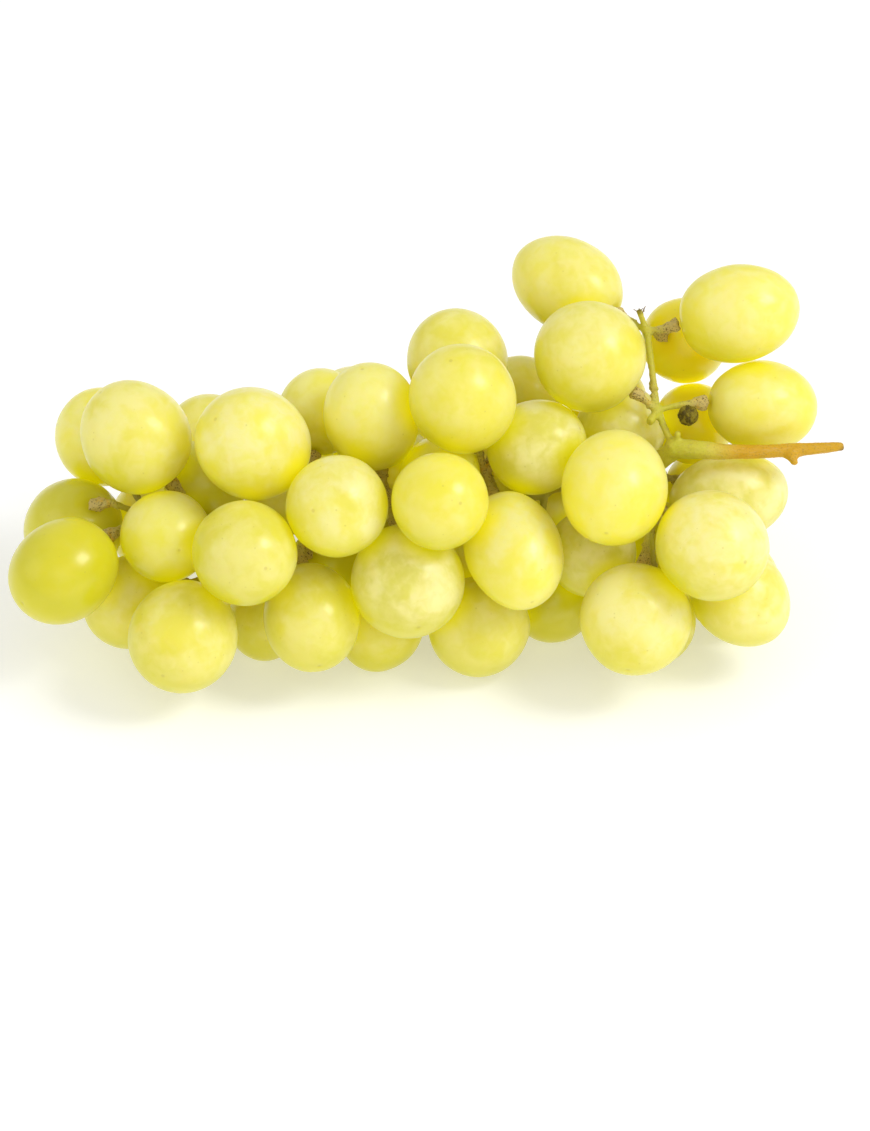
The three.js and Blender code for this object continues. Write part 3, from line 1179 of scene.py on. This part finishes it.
    def near_torn(self, points: np.ndarray) -> np.ndarray:
        """How dry and dark each point is, next to a torn end.

        Args:
            points: The points of the bark.

        Returns:
            One value for each point.
        """
        nearest = np.min([np.linalg.norm(points - end, axis=1) for end in self.torn_ends()], axis=0)
        return self.torn_darkness * (1.0 - eased(nearest, *self.torn_zone))

    def near_fruit(self, points: np.ndarray, ends: np.ndarray, zone: tuple[float, float]) -> np.ndarray:
        """How near each point is to a fruit: 1 inside the zone's first distance, 0 past its second.

        Args:
            points: The points of the stem.
            ends: The stem end of each berry.
            zone: The two distances.

        Returns:
            One value for each point.
        """
        nearest = np.full(len(points), 1.0)
        for end in ends:
            nearest = np.minimum(nearest, np.linalg.norm(points - end, axis=1))
        return 1.0 - eased(nearest, *zone)

    def crowded(self, points: np.ndarray, fruit: list[Berry]) -> np.ndarray:
        """How deep each point lies among the fruit, where the stem gets dark painted shade.

        Args:
            points: The points of the bark.
            fruit: The berries.

        Returns:
            One value for each point.
        """
        crowd = np.zeros(len(points))
        for berry in fruit:
            crowd += 1.0 - eased(np.linalg.norm(points - berry.centre, axis=1), *self.crowd_reach)
        return eased(crowd, *self.crowd_count)

    def woody(self, points: np.ndarray) -> np.ndarray:
        """How woody each point is, rising along the peduncle to its cut end."""
        rise = eased(points[:, 0], self.green_end, self.woody_start)
        return self.least_woody + (1.0 - self.least_woody) * rise

    def remeshed(self, mesh: bpy.types.Mesh, voxel: float, smoothing: int) -> bpy.types.Mesh:
        """Melts the parts of a mesh into one closed skin.

        Args:
            mesh: The overlapping parts, which are used up.
            voxel: The size of the skin's faces.
            smoothing: How many times it is smoothed.

        Returns:
            The one skin.
        """
        carrier = bpy.data.objects.new("stem_carrier", mesh)
        bpy.context.scene.collection.objects.link(carrier)
        melt = carrier.modifiers.new("melt", "REMESH")
        melt.mode = "VOXEL"
        melt.voxel_size = voxel
        melt.use_smooth_shade = True
        calm = carrier.modifiers.new("calm", "SMOOTH")
        calm.factor = 0.5
        calm.iterations = smoothing
        evaluated = carrier.evaluated_get(bpy.context.evaluated_depsgraph_get())
        skin = bpy.data.meshes.new_from_object(evaluated)
        bpy.data.objects.remove(carrier)
        bpy.data.meshes.remove(mesh)
        return skin

    def move_out(self, mesh: bpy.types.Mesh, lift: np.ndarray) -> None:
        """Moves each point out along its normal.

        Args:
            mesh: The mesh.
            lift: How far each point moves.
        """
        normals = np.empty(len(mesh.vertices) * 3)
        mesh.vertices.foreach_get("normal", normals)
        set_points(mesh, points_of(mesh) + normals.reshape(-1, 3) * lift[:, None])

    def bark_lift(self, points: np.ndarray) -> np.ndarray:
        """The height of the bark's low ridges and pits at each point.

        Args:
            points: The points of the bark.

        Returns:
            One height for each point.
        """
        ridges = [noise.noise(Vector(point)) for point in points * np.array(self.ridge_waves)]
        pits = [noise.noise(Vector(point)) for point in points * self.pit_waves]
        return (np.array(ridges) + self.pit_share * np.array(pits)) * self.bark_height

    def torn_fibres(self, place: np.ndarray, bark: bpy.types.Material) -> bpy.types.Mesh:
        """Stands torn fibres on the empty stub.

        Args:
            place: The top of the stub.
            bark: The bark material.

        Returns:
            The fibres.
        """
        chance = np.random.default_rng(self.seed)
        low = place - np.array([0.0, 0.0, self.fibre_root])
        roots = [tuple(low + chance.normal(0.0, self.fibre_spread, 3)) for _ in range(self.fibres)]
        base = bpy.data.meshes.new("fibre_roots")
        base.from_pydata(roots, [], [])
        values = {"Length": self.fibre_length, "Radius": self.fibre_radius, "Seed": self.seed, "Bark": bark}
        mesh = grown_mesh("stem_fibres", self.fibre_graph(), values, base)
        count = len(mesh.vertices)
        for name, value in (("warty", 1.0), ("woody", 0.6), ("dried", 0.8), ("inner", 0.0)):
            set_attribute(mesh, name, np.full(count, value))
        return mesh


@dataclass
class ShotBerry:
    """The little shrivelled berry that never grew."""

    fullness: float = 1.05
    dimple: float = 0.1
    wrinkle: float = 0.55
    wobble: float = 0.25
    seed: float = 7.3

    def build(self, form: BerryForm, skin: bpy.types.Material) -> None:
        """Builds the shrivelled berry in the place of its CAD node.

        Args:
            form: The berry's shape rule.
            skin: Its skin material.
        """
        low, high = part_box(SHOT_NODE)
        width = (high.x - low.x) * self.fullness
        values = {
            "Length": width * self.fullness,
            "Width": width,
            "Shoulder": 0.0,
            "Dimple": self.dimple,
            "Wobble": self.wobble,
            "Wrinkle": self.wrinkle,
            "Seed": self.seed,
            "Skin": skin,
        }
        mesh = grown_mesh("shot_berry_dried", form.tree, values)
        set_points(mesh, points_of(mesh) + np.array((low + high) / 2))
        add_piece("shot_berry_dried", mesh, SHOT_NODE)


# Studio


@dataclass(frozen=True)
class Softbox:
    """A square light that faces the bunch: the way to it, how far off, its side and its watts."""

    name: str
    way: tuple[float, float, float]
    away: float
    side: float
    power: float

    def hang(self, aim: Vector) -> None:
        """Hangs the light.

        Args:
            aim: What it faces.
        """
        lamp = bpy.data.lights.new(self.name, "AREA")
        lamp.shape = "SQUARE"
        lamp.size = self.side
        lamp.energy = self.power
        holder = bpy.data.objects.new(self.name, lamp)
        bpy.context.scene.collection.objects.link(holder)
        direction = Vector(self.way).normalized()
        holder.location = aim + direction * self.away
        holder.rotation_euler = direction.to_track_quat("Z", "Y").to_euler()


@dataclass
class Studio:
    """A white table in soft light, seen from a little above the front."""

    elevation: float = 35.0
    distance: float = 1.5
    aim: tuple[float, float, float] = (0.0015, -0.0080, 0.0209)
    lens: float = 299.0
    table_side: float = 6.0
    world_level: float = 0.57
    softboxes: tuple[Softbox, ...] = (
        Softbox("key", (0.63, -0.22, 0.74), 1.2, 0.42, 6.0),
        Softbox("fill", (-0.80, -0.266, 0.492), 1.0, 0.7, 1.3),
        Softbox("front", (0.15, -0.80, 0.60), 1.6, 0.9, 1.5),
    )

    def build(self) -> None:
        """Sets the table, the light and the camera."""
        self.lay_table()
        self.light()
        self.aim_camera()

    def lay_table(self) -> None:
        """Lays the white paper under the bunch."""
        half = self.table_side / 2
        corners = [(-half, -half, 0.0), (half, -half, 0.0), (half, half, 0.0), (-half, half, 0.0)]
        mesh = bpy.data.meshes.new("table")
        mesh.from_pydata(corners, [], [(0, 1, 2, 3)])
        mesh.materials.append(StudioPaper().material())
        table = bpy.data.objects.new("table", mesh)
        bpy.context.scene.collection.objects.link(table)

    def light(self) -> None:
        """Sets a white surround and hangs the softboxes."""
        world = bpy.data.worlds.new("surround")
        bpy.context.scene.world = world
        world.use_nodes = True
        graph = Graph(world.node_tree)
        glow = graph.node("ShaderNodeBackground", None, {"Color": (1, 1, 1, 1), "Strength": self.world_level})
        graph.node("ShaderNodeOutputWorld", None, {"Surface": glow["Background"]})
        for softbox in self.softboxes:
            softbox.hang(Vector(self.aim))

    def aim_camera(self) -> None:
        """Puts a long lens in front of the bunch."""
        tilt = math.radians(self.elevation)
        camera = bpy.data.cameras.new("camera")
        camera.lens = self.lens
        camera.sensor_width = 36.0
        camera.sensor_fit = "HORIZONTAL"
        camera.clip_end = 20.0
        holder = bpy.data.objects.new("camera", camera)
        bpy.context.scene.collection.objects.link(holder)
        holder.location = Vector(self.aim) + self.distance * Vector((0.0, -math.cos(tilt), math.sin(tilt)))
        holder.rotation_euler = (math.pi / 2 - tilt, 0.0, 0.0)
        scene = bpy.context.scene
        scene.camera = holder
        scene.view_settings.view_transform = "Standard"
        scene.view_settings.look = "None"


# The whole bunch


def main() -> None:
    """Builds the bunch in its studio."""
    logging.basicConfig(level=logging.INFO, format="%(message)s")
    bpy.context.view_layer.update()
    Studio().build()
    stem = Stem()
    berries = Berries()
    berries.read(stem.corners())
    form = BerryForm()
    berries.build(form, GrapeSkin().material())
    stem.build(berries.fruit, StemBark().material())
    ShotBerry().build(form, ShrivelledSkin().material())


if __name__ == "__main__":
    main()
